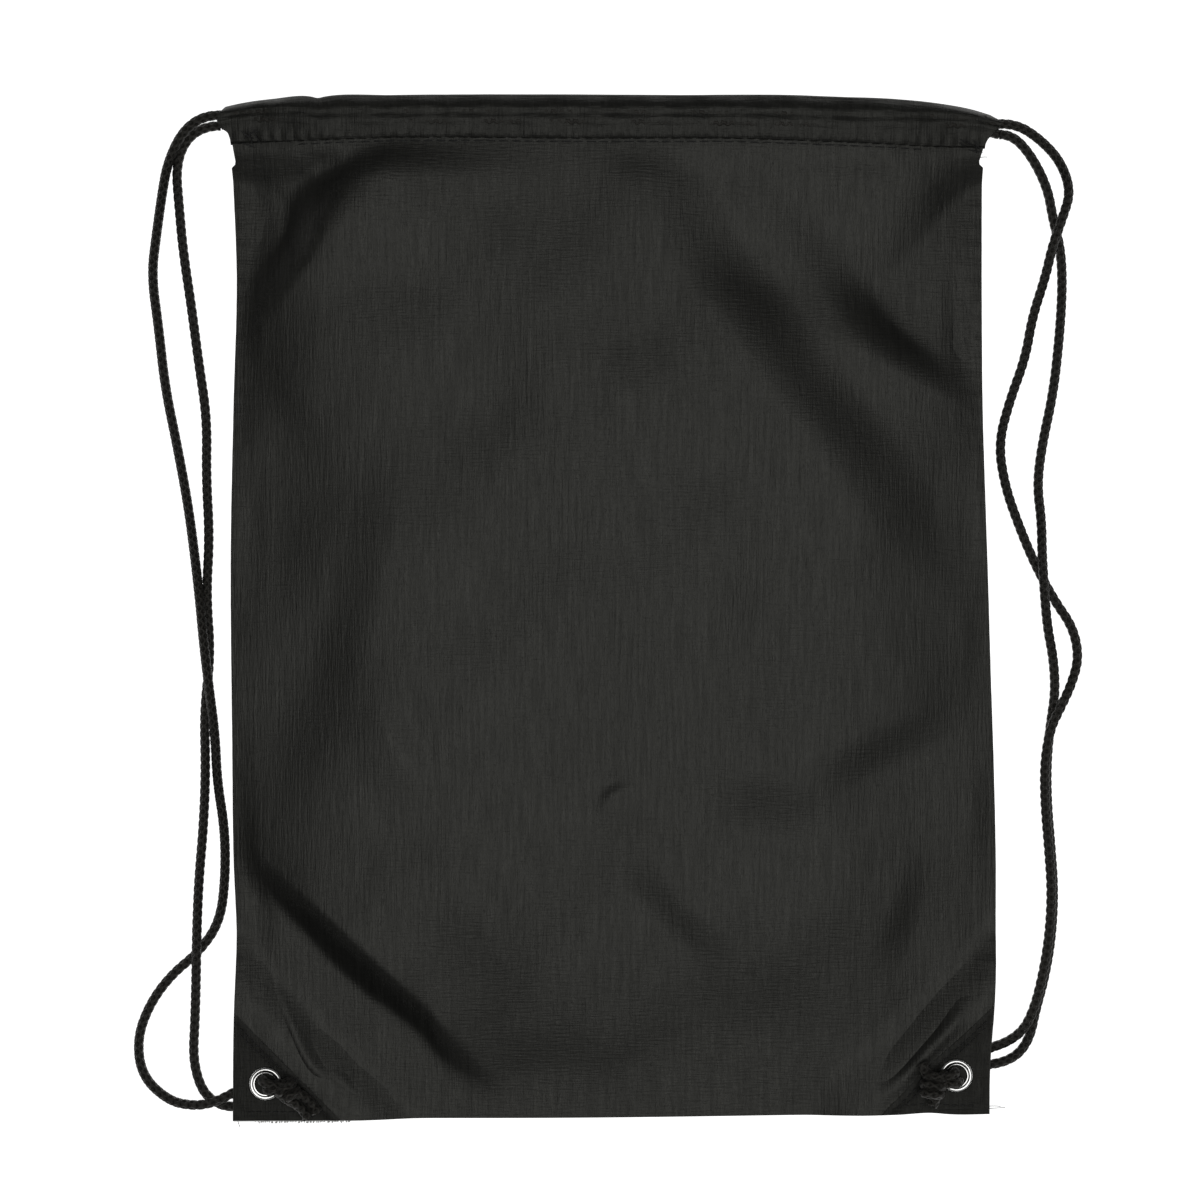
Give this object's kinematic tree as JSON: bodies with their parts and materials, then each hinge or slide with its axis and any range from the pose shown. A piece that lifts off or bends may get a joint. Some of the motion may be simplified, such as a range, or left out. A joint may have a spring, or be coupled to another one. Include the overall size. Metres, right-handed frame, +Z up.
{
  "type": "drawstring backpack",
  "caption": "Flat cloth drawstring backpack with hemmed mouth, two drawcords that double as shoulder straps, metal corner eyelets and knotted cord ends.",
  "frame": {"origin": "on the surface the bag lies on, under the middle of the bag's outline without its cords", "axes": "+X to the bag's right, +Y from the bottom edge to the mouth, +Z up out of the front panel"},
  "size_m": [0.4188, 0.4502, 0.0209],
  "materials": {
    "cloth": "matt woven polyester",
    "patch_cloth": "matt woven polyester, reinforced",
    "interlining": "white non-woven",
    "thread": "polyester thread",
    "cord": "braided polyester",
    "nickel": "polished nickel plate"
  },
  "bodies": {
    "bag": {"back_panel": "cloth", "front_panel": "cloth", "back_hem_tunnel": "cloth", "front_hem_tunnel": "cloth", "back_hem_stitches": "thread", "front_hem_stitches": "thread", "left_outer_strand": "cord", "left_inner_strand": "cord", "right_outer_strand": "cord", "right_inner_strand": "cord"},
    "left_edge": {"left_side_seam": "cloth", "left_seam_stitches": "thread", "left_end_tacks": "thread", "back_left_corner_patch": "patch_cloth", "front_left_corner_patch": "patch_cloth", "left_corner_interlining": "interlining", "left_corner_stitches": "thread", "left_eyelet": "nickel", "left_eyelet_washer": "nickel"},
    "right_edge": {"right_side_seam": "cloth", "right_seam_stitches": "thread", "right_end_tacks": "thread", "back_right_corner_patch": "patch_cloth", "front_right_corner_patch": "patch_cloth", "right_corner_interlining": "interlining", "right_corner_stitches": "thread", "right_eyelet": "nickel", "right_eyelet_washer": "nickel"},
    "left_cord": {"left_drawcord_in_tunnels": "cord"},
    "right_cord": {"right_drawcord_in_tunnels": "cord"},
    "left_knot": {"left_knot": "cord"},
    "right_knot": {"right_knot": "cord"}
  },
  "joints": [
    {"name": "left_cord_pull", "type": "slide", "parent": "bag", "child": "left_cord", "axis": [-1, 0, 0], "range_m": [0, 0.09], "deforming": ["back_panel", "front_panel", "back_hem_tunnel", "front_hem_tunnel", "back_hem_stitches", "front_hem_stitches", "left_outer_strand", "left_inner_strand", "right_outer_strand", "right_inner_strand"]},
    {"name": "right_cord_pull", "type": "slide", "parent": "bag", "child": "right_cord", "axis": [1, 0, 0], "range_m": [0, 0.09]},
    {"name": "left_edge_swing", "type": "hinge", "parent": "bag", "child": "left_edge", "pos_m": [-0.1514, -0.2086, 0], "axis": [0, 0, -1], "range_deg": [0, 12.15]},
    {"name": "right_edge_swing", "type": "hinge", "parent": "bag", "child": "right_edge", "pos_m": [0.1522, -0.205, 0], "axis": [0, 0, 1], "range_deg": [0, 12.26]},
    {"name": "left_knot_lift", "type": "slide", "parent": "left_edge", "child": "left_knot", "axis": [0, 0, 1], "range_m": [0, 0.004]},
    {"name": "right_knot_lift", "type": "slide", "parent": "right_edge", "child": "right_knot", "axis": [0, 0, 1], "range_m": [0, 0.004]}
  ],
  "couplings": [
    {"joint": "right_cord_pull", "follows": "left_cord_pull", "ratio": 1},
    {"joint": "left_edge_swing", "follows": "left_cord_pull", "rad_per_m": 2.356},
    {"joint": "right_edge_swing", "follows": "left_cord_pull", "rad_per_m": 2.377}
  ]
}
